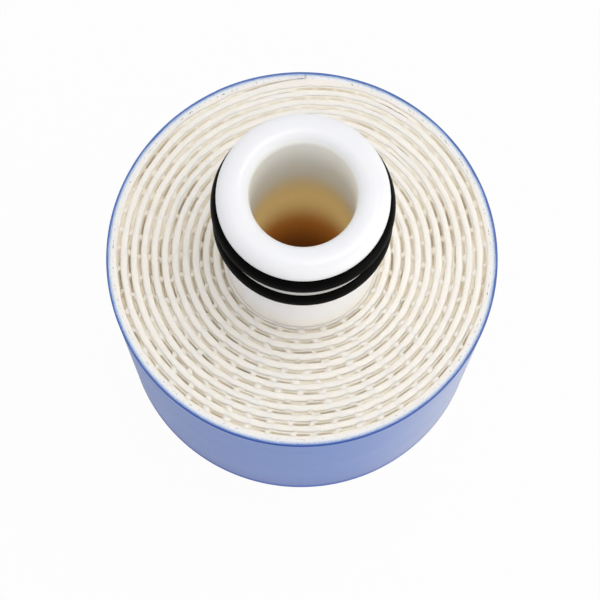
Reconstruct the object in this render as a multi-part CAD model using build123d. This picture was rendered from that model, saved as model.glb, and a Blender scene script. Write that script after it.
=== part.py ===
from build123d import *
import os
from math import cos, pi, sin

# Reverse osmosis membrane element, a short body standing on the closed end of its tube.
# Z runs up the tube towards the sealing spigot. The origin is the middle of the foot.

# Overall sizes
body_radius = 22.25
body_length = 28.0
spigot_reach = 21.0
stub_reach = 21.0

# Permeate tube
tube_radius = 8.6
bore_radius = 5.55
stub_end_wall = 3.5
stub_chamfer = 0.8

# Sealing spigot, measured down from its tip
spigot_radius = 8.95
lip_depth = 2.0
lip_round = 1.5
lip_flats = 4
mouth_round = 1.3
mouth_flats = 3
groove_width = 3.15
land_width = 2.0
shoulder_width = 0.8
taper_length = 2.2

# Rubber rings
ring_section = 2.8
ring_outer_radius = 9.6
ring_sides = 12

# Holes that let the clean water into the tube
hole_radius = 1.5
hole_spacing = 8.0

# Wound roll
tape_thickness = 0.2
winding_pitch = 1.167
channel_width = 0.38
first_channel_radius = 9.035
full_turns = 10
last_turn_steps = 22
steps_per_turn = 24
climb_steps = 4
first_angle = pi / 3
spacer_recess = 0.3

# Heights worked out from the sizes above
body_bottom = stub_reach
body_top = body_bottom + body_length
tip = body_top + spigot_reach
outer_groove_top = tip - lip_depth
outer_groove_bottom = outer_groove_top - groove_width
inner_groove_top = outer_groove_bottom - land_width
inner_groove_bottom = inner_groove_top - groove_width
shoulder_bottom = inner_groove_bottom - shoulder_width
taper_bottom = shoulder_bottom - taper_length

# Radii worked out from the sizes above
groove_floor_radius = ring_outer_radius - ring_section
ring_centre_radius = ring_outer_radius - ring_section / 2
roll_radius = body_radius - tape_thickness


# Permeate tube: half of its section, going up the outside, over the rounded tip and down the bore
def rounded_tip():
    lip_centre = spigot_radius - lip_round
    mouth_centre = bore_radius + mouth_round
    lip = [
        (lip_centre + lip_round * cos(angle), tip - lip_round + lip_round * sin(angle))
        for angle in [pi / 2 * flat / lip_flats for flat in range(lip_flats + 1)]
    ]
    mouth = [
        (mouth_centre - mouth_round * sin(angle), tip - mouth_round + mouth_round * cos(angle))
        for angle in [pi / 2 * flat / mouth_flats for flat in range(mouth_flats + 1)]
    ]
    return lip + mouth


def tube_section():
    return make_face(
        Polyline(
            (0, 0),
            (tube_radius - stub_chamfer, 0),
            (tube_radius, stub_chamfer),
            (tube_radius, taper_bottom),
            (spigot_radius, shoulder_bottom),
            (spigot_radius, inner_groove_bottom),
            (groove_floor_radius, inner_groove_bottom),
            (groove_floor_radius, inner_groove_top),
            (spigot_radius, inner_groove_top),
            (spigot_radius, outer_groove_bottom),
            (groove_floor_radius, outer_groove_bottom),
            (groove_floor_radius, outer_groove_top),
            (spigot_radius, outer_groove_top),
            *rounded_tip(),
            (bore_radius, stub_end_wall),
            (0, stub_end_wall),
            close=True,
        )
    )


# Each cross hole goes through both walls, and each next one is turned a quarter round the tube
def cross_holes():
    middle = body_bottom + body_length / 2
    drill = Cylinder(hole_radius, 2 * spigot_radius, rotation=(90, 0, 0))
    return [
        Pos(0, 0, middle - hole_spacing / 2) * drill,
        Pos(0, 0, middle + hole_spacing / 2) * Rot(0, 0, 90) * drill,
    ]


def permeate_tube():
    tube = revolve(Plane.XZ * tube_section(), Axis.Z)
    for hole in cross_holes():
        tube -= hole
    return tube


# Rubber rings: both press on the land between the two grooves, and each has many flat sides
# so that one side lies on the groove floor and one on the land
def rubber_ring(centre_height):
    half_side_angle = 180 / ring_sides
    section = RegularPolygon(
        ring_section / 2, ring_sides, major_radius=False, rotation=half_side_angle
    )
    return revolve(Plane.XZ * Pos(ring_centre_radius, centre_height) * section, Axis.Z)


def outer_ring():
    return rubber_ring(outer_groove_bottom + ring_section / 2)


def inner_ring():
    return rubber_ring(inner_groove_top - ring_section / 2)


# Winding line: each turn is round for most of the way, and behind the spigot it climbs smoothly
# by one pitch, so the next turn lies outside it
def winding_point(start_radius, step):
    turn, step_in_turn = divmod(step, steps_per_turn)
    level_steps = steps_per_turn - climb_steps
    climb = max(0, step_in_turn - level_steps) / climb_steps
    smooth_climb = climb * climb * (3 - 2 * climb)
    radius = start_radius + winding_pitch * (turn + smooth_climb)
    angle = first_angle - 2 * pi * step_in_turn / steps_per_turn
    return radius * cos(angle), radius * sin(angle)


def winding_line(start_radius):
    steps = full_turns * steps_per_turn + last_turn_steps
    return [winding_point(start_radius, step) for step in range(steps + 1)]


# Channel between the turns of the leaf, as seen on the end of the roll
def channel_outline():
    inner_side = winding_line(first_channel_radius)
    outer_side = winding_line(first_channel_radius + channel_width)
    return make_face(Polyline(*inner_side, *reversed(outer_side), close=True))


# Membrane leaf: an envelope glued along its edges and wound from the tube to the tape
def membrane_leaf():
    roll_end = Circle(roll_radius) - Circle(tube_radius) - channel_outline()
    return Pos(0, 0, body_bottom) * extrude(roll_end, body_length)


# Feed spacer: the net that fills the channel, a little shorter than the leaf at both ends
def feed_spacer():
    strip_length = body_length - 2 * spacer_recess
    return Pos(0, 0, body_bottom + spacer_recess) * extrude(channel_outline(), strip_length)


# Tape that holds the roll closed
def tape_wrap():
    band = Circle(body_radius) - Circle(roll_radius)
    return Pos(0, 0, body_bottom) * extrude(band, body_length)


pieces = {
    "permeate_tube": permeate_tube(),
    "outer_ring": outer_ring(),
    "inner_ring": inner_ring(),
    "membrane_leaf": membrane_leaf(),
    "feed_spacer": feed_spacer(),
    "tape_wrap": tape_wrap(),
}

os.makedirs("parts", exist_ok=True)
for name, piece in pieces.items():
    export_step(piece, f"parts/{name}.step")
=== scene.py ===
# %% [markdown]
# A reverse osmosis membrane element: a long envelope of membrane is wound together with a
# plastic net round a white tube, and blue tape holds the roll closed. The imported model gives
# the frame, and this script dresses it. Lengths are written in millimetres, as on a drawing,
# and one factor turns them into the metres of the scene.

# %% Load the frame
import bpy
import numpy as np
from math import cos, pi, radians, sin
from mathutils import Matrix, Vector


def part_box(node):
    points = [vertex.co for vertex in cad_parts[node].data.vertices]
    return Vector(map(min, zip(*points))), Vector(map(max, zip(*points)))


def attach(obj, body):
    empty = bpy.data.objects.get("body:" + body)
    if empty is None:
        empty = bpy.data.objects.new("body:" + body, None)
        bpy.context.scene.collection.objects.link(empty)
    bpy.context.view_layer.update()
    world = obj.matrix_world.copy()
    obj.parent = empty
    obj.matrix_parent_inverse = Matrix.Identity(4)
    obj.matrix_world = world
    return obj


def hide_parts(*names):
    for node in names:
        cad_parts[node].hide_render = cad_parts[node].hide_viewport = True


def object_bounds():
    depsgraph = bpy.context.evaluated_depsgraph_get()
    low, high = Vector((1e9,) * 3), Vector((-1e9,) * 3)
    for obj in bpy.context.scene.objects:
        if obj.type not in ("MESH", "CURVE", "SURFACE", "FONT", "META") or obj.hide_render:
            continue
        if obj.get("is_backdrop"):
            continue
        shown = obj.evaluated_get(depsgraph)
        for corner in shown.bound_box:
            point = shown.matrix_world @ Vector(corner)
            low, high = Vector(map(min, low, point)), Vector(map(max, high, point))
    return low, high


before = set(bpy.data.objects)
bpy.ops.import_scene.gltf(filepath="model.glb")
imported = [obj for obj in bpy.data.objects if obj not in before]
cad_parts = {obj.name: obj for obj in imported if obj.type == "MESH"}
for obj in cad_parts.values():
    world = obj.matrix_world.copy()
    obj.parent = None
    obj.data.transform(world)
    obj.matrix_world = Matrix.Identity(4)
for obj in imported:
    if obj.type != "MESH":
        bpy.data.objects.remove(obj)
cad_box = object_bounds()
MM = 0.001
print("nodes:", sorted(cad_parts))


# %% Sizes read from the frame
def node_span(node, axis):
    """Lowest and highest place of a node along an axis, in millimetres."""
    low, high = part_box(node)
    return low[axis] / MM, high[axis] / MM


roll_bottom, roll_top = node_span("membrane_leaf", 2)
foot, tip = node_span("permeate_tube", 2)
body_radius = node_span("tape_wrap", 0)[1]
roll_radius = node_span("membrane_leaf", 0)[1]
print("roll from", round(roll_bottom, 2), "to", round(roll_top, 2))
print("radius", round(body_radius, 2), "and", round(roll_radius, 2), "under the tape")

# %% [markdown]
# The boxes don't say how the turns are wound or how the tube is turned, so these sizes repeat
# the ones that the solids were made from.

# %% Sizes of the winding and of the tube
winding_pitch = 1.167
channel_width = 0.38
first_channel_radius = 9.035
last_turn = 10 + 11 / 12
climb_share = 1 / 6
first_angle = pi / 3
tube_radius = 8.6
bore_radius = 5.55
stub_end_wall = 3.5
stub_chamfer = 0.8
spigot_radius = 8.95
lip_depth = 2.0
lip_round = 1.5
mouth_round = 1.3
groove_width = 3.15
land_width = 2.0
shoulder_width = 0.8
taper_length = 2.2
ring_section = 2.8
ring_outer_radius = 9.6
hole_radius = 1.5
hole_spacing = 8.0

# %% [markdown]
# The camera looks down at the spigot, a little from the front. It was found by matching the
# rim, the rings and the bore on the photograph: a long lens close above the roll, turned by
# about one degree in its own plane. Its place is worked out from one point on the roll's top
# face, a distance and an angle above the face.

# %% Camera
camera_distance = 184.89
camera_elevation = radians(74.311)
camera_roll = -0.0207
aim_point = Vector((-0.111, -5.523, roll_top))

backward = Vector((0, -cos(camera_elevation), sin(camera_elevation)))
level_right = Vector((1, 0, 0))
level_up = Vector((0, sin(camera_elevation), cos(camera_elevation)))
right = cos(camera_roll) * level_right - sin(camera_roll) * level_up
up = sin(camera_roll) * level_right + cos(camera_roll) * level_up
camera_place = (aim_point + camera_distance * backward) * MM

camera_data = bpy.data.cameras.new("camera")
camera_data.lens = 98.54
camera_data.sensor_width = 36
camera_data.clip_start = 0.01
camera = bpy.data.objects.new("camera", camera_data)
camera_turn = Matrix((right, up, backward)).transposed().to_4x4()
camera.matrix_world = Matrix.Translation(camera_place) @ camera_turn
bpy.context.scene.collection.objects.link(camera)
bpy.context.scene.camera = camera
bpy.context.scene.view_settings.view_transform = "Standard"
print("camera at", [round(value / MM, 1) for value in camera_place])

# %% [markdown]
# Every new piece is a grid of points. Rows run one way over the surface and columns the other,
# so the shape is one formula of two parameters, and the faces are the cells of the grid. One
# helper lists those cells, one turns points round the axis and another makes the mesh.


# %% From a grid of points to a piece
def grid_faces(rows, columns, join_rows=False, join_columns=False):
    """Cells of a grid as quads: point (i, j), its neighbour in the next column, the one across,
    and the one in the next row. Joining means that the last row or column meets the first."""
    i, j = np.meshgrid(
        np.arange(rows if join_rows else rows - 1),
        np.arange(columns if join_columns else columns - 1),
        indexing="ij",
    )
    next_j = (j + 1) % columns
    row, next_row = i * columns, (i + 1) % rows * columns
    cells = [row + j, row + next_j, next_row + next_j, next_row + j]
    return np.stack(cells, -1).reshape(-1, 4)


def around_axis(radius, angle, height):
    """Points at a radius, at an angle round the tube's axis and at a height."""
    x, y = radius * np.cos(angle), radius * np.sin(angle)
    return np.stack(np.broadcast_arrays(x, y, height), -1)


def make_mesh(name, points, *groups_of_faces):
    """A mesh from points in millimetres and arrays of faces, each array with its own number of
    corners. It is shaded smoothly, except at corners of more than fifty degrees."""
    faces = [face for group in groups_of_faces for face in group.tolist()]
    mesh = bpy.data.meshes.new(name)
    mesh.from_pydata((np.asarray(points) * MM).tolist(), [], faces)
    mesh.shade_smooth()
    mesh.set_sharp_from_angle(angle=radians(50))
    return mesh


def add_piece(name, mesh, slot, *replaced):
    """Puts a mesh into the scene as a piece that rides on the frame and stands for some nodes."""
    piece = bpy.data.objects.new(name, mesh)
    bpy.context.scene.collection.objects.link(piece)
    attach(piece, "root")
    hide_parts(*replaced)
    report_piece(piece)
    return piece


def report_piece(piece):
    """Counts the triangles of a piece and its open edges, and works out its volume from the cone
    that each triangle makes with the origin. A volume above zero says that the faces look
    outwards."""
    mesh = piece.data
    mesh.calc_loop_triangles()
    corners = np.zeros(len(mesh.loop_triangles) * 3, np.int32)
    mesh.loop_triangles.foreach_get("vertices", corners)
    place = np.zeros(len(mesh.vertices) * 3)
    mesh.vertices.foreach_get("co", place)
    a, b, c = (place.reshape(-1, 3)[corners.reshape(-1, 3)] / MM).transpose(1, 0, 2)
    volume = np.einsum("ij,ij->i", a, np.cross(b, c)).sum() / 6
    edges = np.zeros(len(mesh.loops), np.int32)
    mesh.loops.foreach_get("edge_index", edges)
    open_edges = int((np.bincount(edges) == 1).sum())
    print(piece.name, len(a), "triangles,", round(volume), "cubic mm,", open_edges, "open edges")


# %% [markdown]
# The tube is one turned moulding. Its outline runs from the middle of the foot up the outside,
# through two grooves, over the rounded lip, into the bore and down to the blind floor, and
# turning that line round the axis gives the whole surface. Every corner of the outline gets a
# small round, because a moulded edge is never sharp, and it is the round that catches light.


# %% Outline with rounded corners
def corner_round(before, corner, after, radius, steps):
    """Points on the arc that rounds a corner. The arc's centre lies on the line that halves the
    corner's angle, at the radius divided by the sine of half that angle, and a point on the arc
    comes from turning evenly from the first side's touching point to the second side's."""
    to_before = (before - corner) / np.linalg.norm(before - corner)
    to_after = (after - corner) / np.linalg.norm(after - corner)
    half = np.arccos(to_before @ to_after) / 2
    middle = (to_before + to_after) / np.linalg.norm(to_before + to_after)
    centre = corner + middle * radius / np.sin(half)
    start = corner + to_before * radius / np.tan(half) - centre
    end = corner + to_after * radius / np.tan(half) - centre
    turn = pi - 2 * half
    share = np.linspace(0, 1, steps + 1)[:, None]
    arc = np.sin((1 - share) * turn) * start + np.sin(share * turn) * end
    return centre + arc / np.sin(turn)


def rounded_outline(corners, steps):
    """Goes along a line of corners, each given as radius, height and round, and rounds them."""
    places = np.array([corner[:2] for corner in corners], float)
    line = [places[:1]]
    for number, (_, _, size) in enumerate(corners[1:-1], 1):
        line.append(corner_round(*places[number - 1:number + 2], size, steps))
    return np.concatenate([*line, places[-1:]])


# %% Surface of a turned part
def turned(name, outline, steps):
    """A point of the outline at a radius and a height goes to (radius times cosine, radius times
    sine, height) of each angle. Both ends of the outline lie on the axis, and each becomes one
    point that a fan of triangles closes."""
    angle = 2 * pi * np.arange(steps) / steps
    radius, height = outline[1:-1].T
    rings = around_axis(radius[:, None], angle, height[:, None]).reshape(-1, 3)
    poles = [[0, 0, outline[0, 1]], [0, 0, outline[-1, 1]]]
    around = np.arange(steps)
    beside = (around + 1) % steps
    last_ring = (len(radius) - 1) * steps
    low_pole, high_pole = np.full(steps, len(rings)), np.full(steps, len(rings) + 1)
    low_fan = np.stack([low_pole, beside, around], -1)
    high_fan = np.stack([high_pole, last_ring + around, last_ring + beside], -1)
    walls = grid_faces(len(radius), steps, join_columns=True)
    return make_mesh(name, np.concatenate([rings, poles]), walls, low_fan, high_fan)


# %% Outline of the permeate tube
edge_round = 0.15
groove_round = 0.25
stub_round = 0.3
taper_round = 2.0
shoulder_round = 0.6
floor_round = 0.4
outer_groove_top = tip - lip_depth
outer_groove_bottom = outer_groove_top - groove_width
inner_groove_top = outer_groove_bottom - land_width
inner_groove_bottom = inner_groove_top - groove_width
shoulder_bottom = inner_groove_bottom - shoulder_width
taper_bottom = shoulder_bottom - taper_length
groove_floor_radius = ring_outer_radius - ring_section
tube_corners = [
    (0, foot, 0),
    (tube_radius - stub_chamfer, foot, stub_round),
    (tube_radius, foot + stub_chamfer, stub_round),
    (tube_radius, taper_bottom, taper_round),
    (spigot_radius, shoulder_bottom, shoulder_round),
    (spigot_radius, inner_groove_bottom, edge_round),
    (groove_floor_radius, inner_groove_bottom, groove_round),
    (groove_floor_radius, inner_groove_top, groove_round),
    (spigot_radius, inner_groove_top, edge_round),
    (spigot_radius, outer_groove_bottom, edge_round),
    (groove_floor_radius, outer_groove_bottom, groove_round),
    (groove_floor_radius, outer_groove_top, groove_round),
    (spigot_radius, outer_groove_top, edge_round),
    (spigot_radius, tip, lip_round),
    (bore_radius, tip, mouth_round),
    (bore_radius, stub_end_wall, floor_round),
    (0, stub_end_wall, 0),
]
tube_outline = rounded_outline(tube_corners, steps=8)
print("outline of", len(tube_outline), "points, groove floor at radius", groove_floor_radius)

# %% [markdown]
# Clean water reaches the bore through small holes drilled across the tube inside the roll. On
# a finished mesh a Boolean modifier drills them as a workshop would, with plain round cutters
# that are thrown away afterwards.


# %% Drilled permeate tube
def cross_cutter(height, along_y):
    """A round bar across the tube: circles of the hole's radius at both ends, and a wall."""
    steps, reach = 48, 12
    angle = 2 * pi * np.arange(steps) / steps
    side, rise = hole_radius * np.cos(angle), height + hole_radius * np.sin(angle)
    ends = [np.stack([np.full(steps, along), side, rise], -1) for along in (-reach, reach)]
    points = np.concatenate(ends)
    if along_y:
        points = points[:, [1, 0, 2]] * [-1, 1, 1]
    caps = np.stack([np.arange(steps)[::-1], steps + np.arange(steps)])
    mesh = make_mesh("cutter", points, grid_faces(2, steps, join_columns=True), caps)
    cutter = bpy.data.objects.new("cutter", mesh)
    bpy.context.scene.collection.objects.link(cutter)
    return cutter


def drilled(mesh, cutters):
    """Takes each cutter out of the mesh, and gives the mesh that is left. The edges of the holes
    are marked as sharp, so that the shading of the bore doesn't bend round them."""
    blank = bpy.data.objects.new("blank", mesh)
    bpy.context.scene.collection.objects.link(blank)
    for cutter in cutters:
        drill = blank.modifiers.new("drill", "BOOLEAN")
        drill.operation = "DIFFERENCE"
        drill.solver = "EXACT"
        drill.object = cutter
    finished = blank.evaluated_get(bpy.context.evaluated_depsgraph_get())
    result = bpy.data.meshes.new_from_object(finished)
    result.set_sharp_from_angle(angle=radians(40))
    for used in [blank, *cutters]:
        bpy.data.objects.remove(used)
    return result


hole_middle = (roll_bottom + roll_top) / 2
cutters = [
    cross_cutter(hole_middle - hole_spacing / 2, along_y=True),
    cross_cutter(hole_middle + hole_spacing / 2, along_y=False),
]
tube_mesh = drilled(turned("moulded_tube", tube_outline, steps=192), cutters)
tube_mesh.name = "moulded_tube"
tube = add_piece("moulded_tube", tube_mesh, "tube_plastic", "permeate_tube")

# %% [markdown]
# A rubber ring is a small circle carried round a large one. Moulding leaves a thin raised line
# on its outside, where the two halves of the mould met.


# %% Rubber rings
mould_line_height, mould_line_width = 0.03, 0.05
ring_steps, section_steps = 256, 56


def rubber_ring(name, node):
    """The section's angle gives a distance from the axis and a height, and the ring's angle turns
    them round the axis. The mould line is a narrow bell curve over the section's angle."""
    low, high = node_span(node, 2)
    around = 2 * pi * np.arange(ring_steps) / ring_steps
    section = 2 * pi * np.arange(section_steps) / section_steps
    mould_line = mould_line_height * np.exp(-((np.sin(section / 2) / mould_line_width) ** 2))
    size = ring_section / 2 - mould_line_height + mould_line
    radius = ring_outer_radius - ring_section / 2 + size * np.cos(section)
    height = (low + high) / 2 + ring_section / 2 * np.sin(section)
    points = around_axis(radius, around[:, None], height).reshape(-1, 3)
    faces = grid_faces(ring_steps, section_steps, join_rows=True, join_columns=True)[:, ::-1]
    return add_piece(name, make_mesh(name, points, faces), "ring_rubber", node)


outer_ring = rubber_ring("outer_rubber_ring", "outer_ring")
inner_ring = rubber_ring("inner_rubber_ring", "inner_ring")

# %% [markdown]
# On the end of the roll the turns look like closed rings. So the winding line keeps its radius
# for five sixths of each turn, and behind the spigot it climbs smoothly by one pitch. Sheets
# wound by hand are never even, so a slow wave made of several sines moves their edges by some
# hundredths of a millimetre. Its seed is fixed, and each run gives the same roll.

# %% Winding line and slow waves
chance = np.random.default_rng(18)
sine_count = 12
glued_turn = 1 / 12
glued_width = 0.1


def circle_line(radius, turn):
    """Points at a radius and at the angle of some turns, which run clockwise."""
    angle = first_angle - 2 * pi * turn
    return np.stack([radius * np.cos(angle), radius * np.sin(angle)], -1)


def winding(start_radius, turn):
    """Points of the winding line. The radius grows by one pitch for each whole turn, and in the
    last sixth of a turn by the pitch times a smooth step: the square of the share times three
    less twice the share."""
    climb = np.clip((turn % 1 - 1) / climb_share + 1, 0, 1)
    radius = start_radius + winding_pitch * (np.floor(turn) + climb**2 * (3 - 2 * climb))
    return circle_line(radius, turn)


def channel_point(share, turn):
    """Points across the channel: a share of 0 lies on its inner side and 1 on its outer side.
    Over the last twelfth of a turn glue closes the channel, and its width shrinks to a tenth."""
    open_share = np.clip((last_turn - turn) / glued_turn, 0, 1)
    width = channel_width * (glued_width + (1 - glued_width) * open_share)
    return winding(first_channel_radius + channel_width / 2 + (share - 0.5) * width, turn)


def line_lengths(points):
    """Length along a line of points up to each point."""
    steps = np.linalg.norm(np.diff(points, axis=0), axis=1)
    return np.concatenate([[0], np.cumsum(steps)])


def slow_wave(length, size, shortest, longest):
    """Sum of twelve sines over a length, with wavelengths between two limits and phases by
    chance, divided so that the usual swing is the given size."""
    wavelength = chance.uniform(shortest, longest, sine_count)
    phase = chance.uniform(0, 2 * pi, sine_count)
    sines = np.sin(2 * pi * length[..., None] / wavelength + phase)
    return size * sines.sum(-1) / np.sqrt(sine_count / 2)


# %% [markdown]
# The leaf is the membrane envelope: two sheets with a fine carrier cloth between them, glued
# along their edges. On the end of the roll it shows as the broad cream ridges. It is one
# section carried along the winding line, from the turn that lies on the tube to the one under
# the tape. The section's upper and lower ends are rounded like a cord, because the knife that
# trims the roll presses the soft sheets over: the outer rim gets a wide round and leans in,
# and the inner rim gets a small round and hangs a little over the channel. Where glue closes
# the channel the rims beside it stay tight, and so does the outer rim under the tape.

# %% Both sides of the leaf
leaf_step = 0.36


def turns_between(start, end):
    """Turn numbers between two limits, about one step of leaf length apart."""
    middle_radius = first_channel_radius + winding_pitch * (start + end + 1) / 2
    return np.linspace(start, end, int(2 * pi * middle_radius * (end - start) / leaf_step) + 1)


def leaf_sides():
    """Turn numbers and the points of both sides. The first turn's inner side is the tube, the
    last turn's outer side is the tape, and all others are the sides of the channel."""
    limits = (-1, 0, last_turn - 1, last_turn)
    first, middle, last = (turns_between(*pair) for pair in zip(limits, limits[1:]))
    inner = [circle_line(tube_radius, first), channel_point(1, middle), channel_point(1, last)]
    outer = [channel_point(0, first + 1), channel_point(0, middle + 1)]
    outer.append(circle_line(roll_radius, last))
    return np.concatenate([first, middle, last]), np.concatenate(inner), np.concatenate(outer)


leaf_turns, leaf_inner, leaf_outer = leaf_sides()
leaf_length = line_lengths((leaf_inner + leaf_outer) / 2)
print("leaf of", round(leaf_length[-1]), "mm in", len(leaf_turns), "sections")


# %% Section of the leaf
inner_rim = (0.2, 0.2, -0.06)
outer_rim = (0.36, 0.3, 0.1)
crown_share = 0.4


def side_points(rim):
    """How far in from its side and how far from the end the points of one side lie, and how far
    each takes part in what happens at the rim. The rim is a quarter of an ellipse of a width and
    a drop, so a point of it lies the width less its cosine in and the drop less its sine down.
    It begins a little way in or out, and the side slants towards it."""
    width, drop, start = rim
    arc = np.radians([0, 25, 50, 72, 90])
    quarter = [(start + width * (1 - cos(a)), drop * (1 - sin(a)), 1) for a in arc]
    return [(0, 3.0, 0), (0, 0.75, 0), (0.7 * start, 0.45, 0.6), *quarter]


def leaf_section():
    """One section, as a loop of columns: the side that a point belongs to (0 inner, 1 outer,
    between them the crown), its two distances, the end it belongs to (1 top, 0 bottom), and its
    share in what happens at the rim. The lower end takes every other point."""
    inner, outer = side_points(inner_rim), side_points(outer_rim)
    up = [(0, *point[:2], 1, point[2]) for point in inner]
    over = [(1, *point[:2], 1, point[2]) for point in reversed(outer)]
    down = [(1, *outer[number][:2], 0, outer[number][2]) for number in (0, 1, 3, 5, 7)]
    back = [(0, *inner[number][:2], 0, inner[number][2]) for number in (7, 5, 3, 1, 0)]
    crown_top, crown_bottom = (crown_share, 0, 0, 1, 1), (crown_share, 0, 0, 0, 1)
    return np.array([*up, crown_top, *over, *down, crown_bottom, *back]).T


print("section of", leaf_section().shape[1], "points")


# %% Tight rims and waves of the leaf
calm_turns = 0.05


def tightness(side):
    """How tight each rim is, from 0 to 1. The rims on both sides of the channel grow tight where
    glue closes it. On the leaf's outer side that is one turn earlier than on its inner side,
    and from there on the outer rim lies under the tape and stays tight."""
    channel_end = np.where(side == 1, last_turn - 1, last_turn)
    tight = np.clip((leaf_turns[:, None] - channel_end) / glued_turn + 1, 0, 1)
    return tight * (side != crown_share)


def leaf_wave(size, limit, shortest, longest):
    """Slow wave along the leaf, cut off at a limit. It fades out next to the place where the last
    turn meets the one before it, and at the leaf's end."""
    from_meeting = np.minimum(abs(last_turn - 1 - leaf_turns), last_turn - leaf_turns)
    wave = np.clip(slow_wave(leaf_length, size, shortest, longest), -limit, limit)
    return (np.clip(from_meeting / calm_turns, 0, 1) * wave)[:, None]


print("outer rim tight from turn", round(last_turn - 1 - glued_turn, 2))


# %% Membrane leaf
tight_loss = 0.75
widest_inner_rim, widest_outer_rim = 0.28, 0.52
usual_sink = 0.06


def membrane_leaf():
    """A point starts on its own side of the leaf and moves in along the line across, by the place
    in its section and by the slow wave of its edge, but no further than a share of the leaf's
    width. Its height is the end's height less its depth and the wave of that end."""
    side, inwards, depth, is_top, at_rim = leaf_section()
    loose = 1 - tight_loss * tightness(side)
    across = leaf_outer - leaf_inner
    width = np.linalg.norm(across, axis=1, keepdims=True)
    limit = np.where(side < 0.5, widest_inner_rim, widest_outer_rim) * width
    inner_sway, outer_sway = (leaf_wave(0.02, 0.04, 1.4, 9) for _ in range(2))
    sway = np.where(side < 0.5, inner_sway, outer_sway) * at_rim
    from_side = np.where(side == crown_share, 0, np.minimum(inwards * loose, limit) + sway)
    along = side * width + np.where(side > 0.5, -1, 1) * from_side
    place = leaf_inner[:, None] + (across / width)[:, None] * along[..., None]
    top_sink, bottom_sink = (usual_sink + leaf_wave(0.025, 0.06, 3, 40) for _ in range(2))
    top = roll_top - top_sink - depth * loose
    bottom = roll_bottom + bottom_sink + depth * loose
    height = np.where(is_top == 1, top, bottom)
    points = np.concatenate([place, height[..., None]], -1)
    rows, columns = height.shape
    walls = grid_faces(rows, columns, join_columns=True)[:, ::-1]
    caps = np.array([np.arange(columns), rows * columns - 1 - np.arange(columns)])
    return make_mesh("wound_leaf", points.reshape(-1, 3), walls, caps)


leaf = add_piece("wound_leaf", membrane_leaf(), "membrane_edge", "membrane_leaf")

# %% [markdown]
# The feed spacer is a net of two layers of slanting strands, cut to the width of the roll and
# wound between the turns of the leaf. On the end of the roll the cut strands are pale spots, and
# the pockets between them look like short dark dashes. A little deeper the crossings close the
# view, so the piece is one strip that fills the channel, with a bump at each cut strand and a
# pocket between two bumps in its upper and lower edges. The knife cuts the net with the leaf,
# so the bumps reach nearly as far as the leaf does and spread over its rims. Everything is
# worked out along the flat strip and then laid along the winding.

# %% Laying a flat strip along the winding
line_points = 5000
spacer_turns = np.linspace(0, last_turn, line_points)
spacer_lengths = line_lengths(channel_point(0.5, spacer_turns))
strip_length = spacer_lengths[-1]


def lay_along_winding(along, share, depth, top):
    """The length along the strip picks a turn, and the share picks a point across the channel
    there. The depth is measured down from the roll's top or up from its bottom."""
    flat = channel_point(share, np.interp(along, spacer_lengths, spacer_turns))
    height = np.where(top, roll_top - depth, roll_bottom + depth)
    return np.concatenate([flat, height[..., None]], -1)


def roll_angle(along):
    """Angle round the axis of places along the strip."""
    return first_angle - 2 * pi * np.interp(along, spacer_lengths, spacer_turns)


print("strip of", round(strip_length), "mm")

# %% Places of the strands
strand_spacing = 2.5
strand_error = 0.16
strip_margin = 1.5
layer_drift = 0.3


def strand_starts(drift):
    """Where the strands of one layer meet the cut: evenly spaced, with a small error by chance,
    and moved slowly against the other layer's by a wave."""
    even = np.arange(strip_margin, strip_length - strip_margin, strand_spacing)
    return even + chance.normal(0, strand_error, len(even)) + slow_wave(even, drift, 70, 400)


cuts = {(top, side): strand_starts(layer_drift * side) for top in (1, 0) for side in (0, 1)}
print(sum(len(starts) for starts in cuts.values()), "strand ends")

# %% [markdown]
# The pockets aren't equally deep all round. On the photograph the dashes are darkest at the
# left and right and nearly fade out at the back. At the front the dark line of a dash is its
# outer edge and elsewhere its inner edge, so the floor of the pockets slants that way. The
# bumps between them are lower at the back too.

# %% Depth of the pockets
pocket_depth = 0.62
least_pocket, greatest_pocket = 0.2, 1.2
bump_depth = 0.17
bump_foot, bump_rise = 0.4, 0.4
lane_mean, lane_slant = 0.9, 0.27


def to_front(angle):
    """Goes from 1 at the front of the roll to -1 elsewhere, by the sine of the angle round it."""
    return np.clip(-3 * np.sin(angle) - 0.9, -1, 1)


def pocket_edge(along, top, side):
    """Depth of one lane of an edge, and its bumps. Counting strands along the strip gives a
    phase, and its cosine, stretched and cut off at nought and one, is a bump with a flat top at
    each strand. Slow waves make some bumps longer, and the pockets between them uneven. The
    pockets are deepest at the left and right, by the fourth power of the cosine of the angle
    round the roll, a little more so at the left, and shallow at the back."""
    starts = cuts[top, side]
    phase = np.interp(along, starts, np.arange(len(starts)))
    bump = np.cos(2 * pi * phase) - bump_foot + slow_wave(along, 0.14, 3, 17)
    bump = np.clip(bump / bump_rise, 0, 1)
    angle = roll_angle(along)
    to_back = 0.5 + 0.5 * np.sin(angle)
    lane = lane_mean + lane_slant * (2 * side - 1) * to_front(angle)
    place = 0.8 + 0.6 * np.cos(angle) ** 4 - 0.1 * np.cos(angle) - 0.24 * to_back
    pocket = (pocket_depth + slow_wave(along, 0.13, 3, 22)) * lane * place
    pocket = np.clip(pocket, least_pocket, greatest_pocket)
    bump = bump * (1 - 0.6 * to_back)
    return pocket * (1 - bump) + bump_depth * bump, bump


print("pockets from", least_pocket, "to", greatest_pocket, "mm deep, bumps at", bump_depth)


# %% Strip with pockets
strip_step = 0.17
edge_shares = [0, -0.22, 0.2, 0.6, 0.84, 1]
bump_spread = [0, -0.28, -0.1, 0.1, 0.28, 0]
rim_slant, rim_drop = 0.18, 0.08


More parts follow.
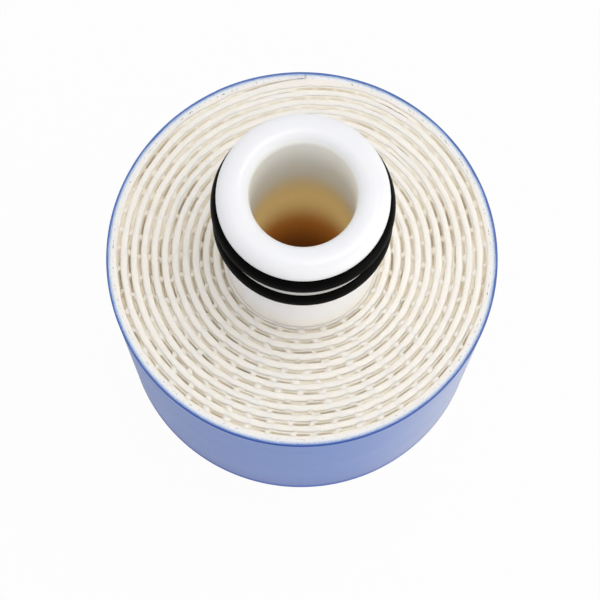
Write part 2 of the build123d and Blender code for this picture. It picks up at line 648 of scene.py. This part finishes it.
def net_strip():
    """A loop of twelve points round the strip's section, repeated along it. Six lie on the upper
    edge and six on the lower one, three in each lane, and each lane has its own pockets. The
    edges lean inwards as the rims of the leaf do, and a bump spreads over both rims. The first
    and last point of an edge are lowered in the deeper lane and raised in the other."""
    along = np.arange(0, strip_length, strip_step)
    lanes = {cut: pocket_edge(along, *cut) for cut in cuts}
    order = [(1, side) for side in (0, 0, 0, 1, 1, 1)]
    order += [(0, side) for side in (1, 1, 1, 0, 0, 0)]
    depth, bump = np.stack([lanes[cut] for cut in order], -1)
    front = to_front(roll_angle(along))
    lowered = np.zeros((len(along), 6))
    lowered[:, 0], lowered[:, 5] = rim_drop - rim_slant * front, rim_drop + rim_slant * front
    depth = depth + np.concatenate([lowered, lowered[:, ::-1]], 1) * (1 - 0.9 * bump)
    share = np.array(edge_shares + edge_shares[::-1])
    share = share + np.array(bump_spread + bump_spread[::-1]) * bump
    along, top = np.broadcast_arrays(along[:, None], np.array([1] * 6 + [0] * 6))
    points = lay_along_winding(along, share, depth, top)
    walls = grid_faces(*depth.shape, join_columns=True)[:, ::-1]
    caps = np.array([np.arange(12), depth.size - 1 - np.arange(12)])
    return make_mesh("spacer_net", points.reshape(-1, 3), walls, caps)


spacer = add_piece("spacer_net", net_strip(), "spacer_net", "feed_spacer")

# %% [markdown]
# Blue tape is wound tightly round the roll, so the side is a smooth thin shell. Its upper and
# lower edges were trimmed with the roll and wave very slightly. At the back the outer end of
# the tape leaves a step as high as the film is thick.


# %% Tape
film_thickness = 0.05
lap_angle = radians(118)
lap_gap = 0.0004
trim_swing = 0.02
tape_steps = 384


def tape_section():
    """The section is a thin upright loop with round ends: the radius of each point, its distance
    from the end of the roll that it belongs to, and that end (1 top, 0 bottom)."""
    half = (body_radius - roll_radius) / 2
    middle = (body_radius + roll_radius) / 2
    arc = np.radians(np.arange(0, 181, 30))
    top = [(middle + half * np.cos(a), half * (1 - np.sin(a)), 1) for a in arc]
    inner_wall = [(roll_radius, 2, 1), (roll_radius, 2, 0)]
    bottom = [(middle - half * np.cos(a), half * (1 - np.sin(a)), 0) for a in arc]
    outer_wall = [(body_radius, depth, 0) for depth in (0.6, 2, 5, 9)]
    outer_wall += [(body_radius, depth, 1) for depth in (14, 9, 5, 2, 0.6)]
    return np.array(top + inner_wall + bottom + outer_wall).T


def tape_wrap():
    """The angle turns the section round the axis, and the last step of the turn is very short, so
    that it stands upright. A slow wave lowers the ends, and the outer wall loses one film
    thickness over the turn before the tape's end."""
    turn = np.append(np.linspace(0, 2 * pi, tape_steps, endpoint=False), 2 * pi - lap_gap)
    angle = (lap_angle + turn)[:, None]
    radius, depth, is_top = tape_section()
    length = body_radius * turn[:, None]
    edge_wave = trim_swing * np.sin(3 * turn[:, None]) + slow_wave(length, 0.012, 4, 30)
    edge_wave = np.abs(edge_wave)
    is_outer = radius > body_radius - (body_radius - roll_radius) / 4
    thinner = np.where(is_outer, film_thickness * (1 - turn[:, None] / (2 * pi)), 0)
    bulge = np.where(is_outer & (depth > 0.5), slow_wave(length, 0.006, 9, 60) - 0.012, 0)
    radius = radius - thinner + np.clip(bulge, -0.04, 0)
    height = np.where(is_top == 1, roll_top - edge_wave - depth, roll_bottom + edge_wave + depth)
    points = around_axis(radius, angle, height).reshape(-1, 3)
    faces = grid_faces(*height.shape, join_rows=True, join_columns=True)[:, ::-1]
    return make_mesh("blue_tape_wrap", points, faces)


tape = add_piece("blue_tape_wrap", tape_wrap(), "blue_tape", "tape_wrap")

# %% [markdown]
# A finish is a small network of shader nodes. To read it like arithmetic, one class wraps the
# output of a node: a sum or product of two wires adds the Math node that works it out. All
# other nodes come from one method, which makes a node's settings first and then gives its
# sockets their values or links.


# %% Wires between shader nodes
class Wire:
    """One output of a shader node. Arithmetic on wires and numbers adds Math nodes."""

    def __init__(self, tree, socket=None):
        self.tree = tree
        self.socket = socket

    def node(self, kind, settings, sockets, output=0):
        """Adds a node of a kind, makes its settings, then fills its sockets."""
        node = self.tree.nodes.new("ShaderNode" + kind)
        for name, setting in settings.items():
            setattr(node, name, setting)
        for name, value in sockets.items():
            if isinstance(value, Wire):
                self.tree.links.new(value.socket, node.inputs[name])
            else:
                node.inputs[name].default_value = value
        return Wire(self.tree, node.outputs[output] if node.outputs else None)

    def math(self, operation, first, second):
        return self.node("Math", {"operation": operation}, {0: first, 1: second})

    def __add__(self, other):
        return self.math("ADD", self, other)

    def __sub__(self, other):
        return self.math("SUBTRACT", self, other)

    def __rsub__(self, other):
        return self.math("SUBTRACT", other, self)

    def __mul__(self, other):
        return self.math("MULTIPLY", self, other)

    def __truediv__(self, other):
        return self.math("DIVIDE", self, other)

    def __pow__(self, other):
        return self.math("POWER", self, other)

    __radd__ = __add__
    __rmul__ = __mul__


# %% Helpers for finishes
def blend(factor, first, second):
    """Mixes two colours: a factor of 0 gives the first and 1 the second."""
    sockets = {0: factor, 6: first, 7: second}
    return factor.node("Mix", {"data_type": "RGBA"}, sockets, output=2)


def fade(value, start, end):
    """Goes smoothly from 0 at the start to 1 at the end, which may be the smaller number."""
    if start > end:
        return 1 - fade(value, end, start)
    sockets = {"Value": value, "From Min": start, "From Max": end}
    return value.node("MapRange", {"interpolation_type": "SMOOTHSTEP"}, sockets)


def band(value, low, high, margin):
    """Is 1 between two limits, and goes smoothly to 0 within a margin outside them."""
    return fade(value, low - margin, low) * fade(value, high + margin, high)


def near_ends(height, far, near):
    """Goes smoothly from 0 to 1 towards each end of the roll, between two distances from it."""
    upper = fade(height, roll_top - far, roll_top - near)
    return upper + fade(height, roll_bottom + far, roll_bottom + near)


def noise(place, scale, detail=2.0, roughness=0.5):
    """Cloudy noise from 0 to 1; the scale is the number of clouds in a millimetre."""
    sockets = {"Vector": place, "Scale": scale / MM, "Detail": detail, "Roughness": roughness}
    return place.node("TexNoise", {}, sockets)


def srgb(red, green, blue, alpha=1.0):
    """Turns a colour as a screen shows it, with parts from 0 to 255, into linear light."""
    parts = np.array([red, green, blue]) / 255
    linear = np.where(parts <= 0.04045, parts / 12.92, ((parts + 0.055) / 1.055) ** 2.4)
    return (*linear.tolist(), alpha)


def start_finish(name):
    """Makes an empty material and gives it with the wire of the place on the piece, in metres."""
    material = bpy.data.materials.new(name)
    material.use_nodes = True
    material.node_tree.nodes.clear()
    return material, Wire(material.node_tree).node("TexCoord", {}, {}, "Object")


def end_finish(material, surface, height, relief):
    """Joins the surface's sockets, a bump of the given relief in millimetres, and the output."""
    start = Wire(material.node_tree)
    bump = start.node("Bump", {}, {"Strength": 1.0, "Distance": relief * MM, "Height": height})
    shader = start.node("BsdfPrincipled", {}, {**surface, "Normal": bump})
    start.node("OutputMaterial", {}, {"Surface": shader})


def split(place):
    """The x, y and z of a place, as three wires."""
    outputs = place.node("SeparateXYZ", {}, {"Vector": place}).socket.node.outputs
    return [Wire(place.tree, outputs[name]) for name in "XYZ"]


def axis_parts(place):
    """Distance from the tube's axis and height, both in millimetres, as wires."""
    x, y, z = split(place)
    return (x * x + y * y) ** 0.5 / MM, z / MM


def turned_by(place):
    """Angle round the tube's axis in radians, as a wire."""
    x, y, _ = split(place)
    return y.math("ARCTAN2", y, x)


print("white of the screen as linear light:", srgb(255, 255, 255)[:3])

# %% [markdown]
# The tube is white moulded plastic with a soft shine. Its colour is almost even: faint clouds
# come from the moulding, and shallow ripples bend the highlights a little. Near the roll the
# colour is warmer, which is painted warm light thrown back from the roll, and the land between
# the rings is darker, which is painted shade. Inside the bore the white turns to tan and then
# to a deep brown with depth, which is painted shade with a painted warm tint, and a faint glow
# in the bore is painted light that stands for daylight coming through the wall. The distance
# from the axis finds the bore, and the height above the roll's end, in millimetres, finds how
# deep it is.

# %% Tube plastic
material, place = start_finish("tube_plastic")
from_axis, height = axis_parts(place)
above_roll = height - roll_top
clouds = noise(place, 0.25, 3)
grain = noise(place, 6, 2)
outside = blend(clouds, srgb(233, 234, 238), srgb(239, 240, 243))
# painted warm light thrown back from the roll: the colour is warmer near it
outside = blend(fade(above_roll, 5, 0), outside, srgb(240, 238, 232))
# painted shade: the land between the two rings is darker
painted_shade_between_rings = band(height, inner_groove_top, outer_groove_bottom, 0.2)
outside = blend(painted_shade_between_rings, outside, srgb(208, 208, 205))
# painted shade in the bore: white turns to tan and then deep brown with depth, with a painted
# warm tint
bore = blend(fade(above_roll, 12, 5), srgb(236, 238, 236), srgb(205, 176, 130))
bore = blend(fade(above_roll, 3, -12), bore, srgb(120, 70, 30))
# painted light: an emission glow in the bore that stands for daylight coming through the wall
glow = blend(fade(above_roll, 19, 14), (0.08, 0.08, 0.075, 1), (0.005, 0.005, 0.003, 1))
glow = blend(fade(above_roll, 12, 4), glow, (0.19, 0.16, 0.07, 1))
glow = blend(fade(above_roll, 3, -6), glow, (0.11, 0.038, 0.005, 1))
glow = blend(fade(above_roll, -5, -16), glow, (0.035, 0.01, 0.002, 1))
in_bore = fade(from_axis, bore_radius + 0.35, bore_radius + 0.05)
end_finish(
    material,
    {
        "Base Color": blend(in_bore, outside, bore),
        "Roughness": 0.22 + 0.12 * clouds + 0.06 * grain,
        "IOR": 1.5,
        "Subsurface Weight": 0.6,
        "Subsurface Radius": (1.0, 0.98, 0.96),
        "Subsurface Scale": 0.8 * MM,
        "Emission Color": blend(in_bore, (0, 0, 0, 1), glow),
        "Emission Strength": 1.0,
    },
    height=clouds * 0.8 + grain * 0.2,
    relief=0.03,
)
tube.data.materials.clear()
tube.data.materials.append(material)

# %% [markdown]
# The rings are black rubber with a thin film of grease. Rubber is never quite black: where the
# film is thicker it shines more, and where it is dry it looks grey and dull.

# %% Ring rubber
material, place = start_finish("ring_rubber")
smears = noise(place, 0.35, 3, 0.6)
pores = noise(place, 9, 2)
end_finish(
    material,
    {
        "Base Color": blend(smears, srgb(3, 3, 3), srgb(7, 7, 6)),
        "Roughness": 0.3 + 0.2 * smears + 0.08 * pores,
        "Specular IOR Level": 0.03,
    },
    height=smears * 0.6 + pores * 0.4,
    relief=0.015,
)
for ring in (outer_ring, inner_ring):
    ring.data.materials.append(material)

# %% [markdown]
# The cut edge of the leaf is cream: it is mostly the glue line between two white sheets. It is
# a little uneven in tint and rough like felt. Down in the channel it is more beige and darker,
# which is painted shade. The last wrap under the tape is whiter and fuzzy, with a broken line
# of dark specks where it is glued, and the blue of the tape is painted into it as blue light.

# %% Membrane edge
material, place = start_finish("membrane_edge")
from_axis, height = axis_parts(place)
patches = noise(place, 0.12, 3)
fibres = noise(place, 3.2, 4, 0.65)
fuzz = noise(place, 5, 2, 0.6)
rim_x, rim_y = turned_by(place) * roll_radius * MM, from_axis * 3 * MM
along_rim = place.node("CombineXYZ", {}, {"X": rim_x, "Y": rim_y})
specks = noise(along_rim, 2.4, 2, 0.6)
at_end = near_ends(height, 0.9, 0.2)
cream = blend(patches, srgb(243, 236, 226), srgb(248, 243, 236))
cream = blend(fade(fibres, 0.56, 0.75), cream, srgb(239, 229, 213))
# painted shade: the leaf's wall down in the channel is darker and more beige than its end
wall = blend(fibres, srgb(233, 222, 200), srgb(241, 232, 214))
leaf_colour = blend(at_end, wall, cream)
last_wrap = fade(from_axis, roll_radius - 0.8, roll_radius - 0.5)
leaf_colour = blend(last_wrap, leaf_colour, srgb(243, 243, 242))
glue_line = band(from_axis, roll_radius - 0.6, roll_radius - 0.54, 0.08)
leaf_colour = blend(glue_line * fade(specks, 0.58, 0.66), leaf_colour, srgb(128, 122, 112))
# painted blue light from the tape near the leaf's outer rim
film_glow = fade(from_axis + 0.3 * fuzz, roll_radius - 0.32, roll_radius + 0.22)
leaf_colour = blend(film_glow, leaf_colour, srgb(140, 172, 224))
end_finish(
    material,
    {
        "Base Color": leaf_colour,
        "Roughness": 0.62 + 0.25 * fibres,
        "Specular IOR Level": 0.35,
        "Subsurface Weight": 1.0,
        "Subsurface Radius": (1.0, 0.95, 0.85),
        "Subsurface Scale": 0.6 * MM,
    },
    height=fibres * 0.6 + patches * 0.4,
    relief=0.05,
)
leaf.data.materials.append(material)

# %% [markdown]
# The net is drawn from a cloudy white plastic. Between the leaves it is beige, partly its own
# tint and partly painted shade, with a dull shine on each strand. It is paler at the cut ends,
# which is painted light coming in from above.

# %% Spacer net
material, place = start_finish("spacer_net")
tint = noise(place, 0.5, 3)
drawn = noise(place, 5, 2)
from_axis, height = axis_parts(place)
# beige net colour: the plastic's own tint and painted shade between the leaves
net_tint_and_shade = blend(tint, srgb(232, 224, 206), srgb(240, 233, 218))
# painted light: the net is paler towards the cut ends, where light comes in from above
lit_cut_end = near_ends(height, 0.4, 0.15)
end_finish(
    material,
    {
        "Base Color": blend(lit_cut_end, net_tint_and_shade, srgb(246, 241, 231)),
        "Roughness": 0.4 + 0.2 * drawn,
        "Subsurface Weight": 0.3,
        "Subsurface Radius": (1.0, 0.95, 0.85),
        "Subsurface Scale": 0.15 * MM,
    },
    height=drawn,
    relief=0.02,
)
spacer.data.materials.append(material)

# %% [markdown]
# The tape is a smooth blue film. Its own colour is a strong blue, and the pale lavender that
# shows on its side is the white room mirrored at a low angle. Stretching the film leaves long
# shallow waves round the roll, so the noise is stretched along the turn. The right side looks
# paler: a coat that grows towards the right gives it a stronger shine, which is a painted
# reflection of the brighter lit floor on that side. The trimmed edge is rough and pale next to
# the roll, and its outer part is the most saturated blue of all. Towards the lower edge the
# colour is darker, which is painted shade, and the lower edge is rougher and duller than the
# side.

# %% Tape film
material, place = start_finish("blue_tape")
from_axis, height = axis_parts(place)
to_right = split(place)[0] / MM
flattened = place.node("Mapping", {}, {"Vector": place, "Scale": (1, 1, 3.5)})
stretch = noise(flattened, 0.05, 3)
fine = noise(flattened, 0.9, 3)
film = blend(stretch, srgb(53, 105, 189), srgb(60, 111, 195))
# painted shade: the tape's colour is darker towards its lower edge
film = blend(fade(height, roll_bottom + 9, roll_bottom - 2), film, srgb(22, 78, 172))
across_edge = fade(from_axis, roll_radius, body_radius - 0.07)
trimmed = blend(across_edge, srgb(112, 150, 212), srgb(2, 60, 158))
cut_edge = fade(height, roll_top - 0.55, roll_top - 0.15)
worn_edge = fade(height, roll_bottom + 2.2, roll_bottom)
end_finish(
    material,
    {
        "Base Color": blend(cut_edge, film, trimmed),
        "Roughness": 0.24 + 0.1 * stretch + 0.06 * fine + 0.45 * cut_edge + 0.3 * worn_edge,
        "IOR": 1.55,
        # painted reflection: the coat grows towards the right, where the mirrored floor is
        # brighter
        "Coat Weight": fade(to_right, 3, 21) * 0.6,
        "Coat Roughness": 0.15,
    },
    height=stretch * 0.9 + fine * 0.1,
    relief=0.06,
)
tape.data.materials.append(material)

# %% [markdown]
# The room is plain: a pale floor, a white sky and two large soft lamps. The photograph's
# background is pure white, so camera rays see the floor mostly as white light, and a small
# share of the lit floor stays in, which keeps the soft shadow. Mirrored rays see it as partly
# white too, which brightens the tape. The sky is dimmer for the object than for the camera.

# %% Floor
floor_size = 3.0
white_seen, white_mirrored = 0.95, 0.3
corners = np.array([[-1, -1, 0], [1, -1, 0], [1, 1, 0], [-1, 1, 0]]) * floor_size / MM
floor_mesh = make_mesh("floor", corners, np.array([[0, 1, 2, 3]]))
floor = bpy.data.objects.new("floor", floor_mesh)
bpy.context.scene.collection.objects.link(floor)
floor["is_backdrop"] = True
material, place = start_finish("pale_floor")
seen = place.node("LightPath", {}, {}, "Is Camera Ray")
mirrored = place.node("LightPath", {}, {}, "Is Glossy Ray")
rays = seen * white_seen + mirrored * white_mirrored
lit = place.node("BsdfDiffuse", {}, {"Color": srgb(228, 228, 229)})
white = place.node("Emission", {}, {"Color": (1, 1, 1, 1), "Strength": 1.0})
mixed = place.node("MixShader", {}, {0: rays, 1: lit, 2: white})
place.node("OutputMaterial", {}, {"Surface": mixed})
floor_mesh.materials.append(material)

# %% Sky and lamps
world = bpy.data.worlds.new("room")
world.use_nodes = True
world.node_tree.nodes.clear()
start = Wire(world.node_tree)
rays = start.node("LightPath", {}, {}, "Is Camera Ray")
sky = start.node("Background", {}, {"Color": (0.985, 0.98, 0.985, 1), "Strength": 0.79})
backdrop = start.node("Background", {}, {"Color": (1, 1, 1, 1), "Strength": 1.0})
room = start.node("MixShader", {}, {0: rays, 1: sky, 2: backdrop})
start.node("OutputWorld", {}, {"Surface": room})
bpy.context.scene.world = world


def soft_lamp(name, place, size, power, colour=(1, 1, 1)):
    """A square lamp at a place in millimetres that faces the middle of the roll's top."""
    lamp = bpy.data.lights.new(name, "AREA")
    lamp.size = size * MM
    lamp.energy = power
    lamp.color = colour
    carrier = bpy.data.objects.new(name, lamp)
    place = Vector(place)
    facing = (place - Vector((0, 0, roll_top))).to_track_quat("Z", "Y")
    carrier.matrix_world = Matrix.Translation(place * MM) @ facing.to_matrix().to_4x4()
    bpy.context.scene.collection.objects.link(carrier)


soft_lamp("key_lamp", (112, 32, 508), 240, 0.63, (1, 0.985, 0.965))
soft_lamp("side_lamp", (420, -240, 20), 300, 1.3, (1, 0.94, 0.84))
print("lamps:", [item.name for item in bpy.data.lights])

# %% [markdown]
# The boxes of the imported model and of the dressed one are both worked out and printed, in
# millimetres. The dressed model has to keep the size of the imported one.

# %% Sizes and finish
boxes = {
    name: [[float(value) for value in corner] for corner in box]
    for name, box in (("cad", cad_box), ("visual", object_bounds()))
}
for name, box in boxes.items():
    print(name, "box in mm:", [[round(value / MM, 2) for value in corner] for corner in box])
